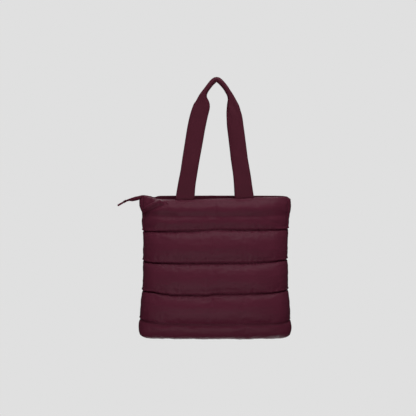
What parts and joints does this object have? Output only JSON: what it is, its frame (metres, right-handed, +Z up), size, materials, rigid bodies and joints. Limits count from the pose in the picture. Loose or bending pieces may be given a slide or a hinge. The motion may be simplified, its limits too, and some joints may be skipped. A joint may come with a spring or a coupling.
{
  "type": "puffer tote bag",
  "caption": "Quilted puffer tote bag hanging by its padded shoulder straps, with an open top zip whose tab sticks out of one corner.",
  "frame": {"origin": "the point under the grips of the two handles that the bag hangs from", "axes": "+Z up along the hanging bag, +X to the right of the front panel, -Y out of the front panel"},
  "size_m": [0.4524, 0.1336, 0.6825],
  "materials": {
    "quilted_nylon": "satin burgundy nylon shell over a soft filling",
    "strap_nylon": "matte burgundy nylon",
    "zip_tape": "matte woven burgundy tape",
    "zip_slider": "satin burgundy lacquer"
  },
  "bodies": {
    "root": {"front_panel": "quilted_nylon", "back_panel": "quilted_nylon", "front_handle": "strap_nylon", "back_handle": "strap_nylon", "front_zip_tape": "zip_tape", "back_zip_tape": "zip_tape", "zip_end_tab": "strap_nylon", "zip_slider": "zip_slider", "zip_pull": "zip_tape"}
  },
  "joints": []
}
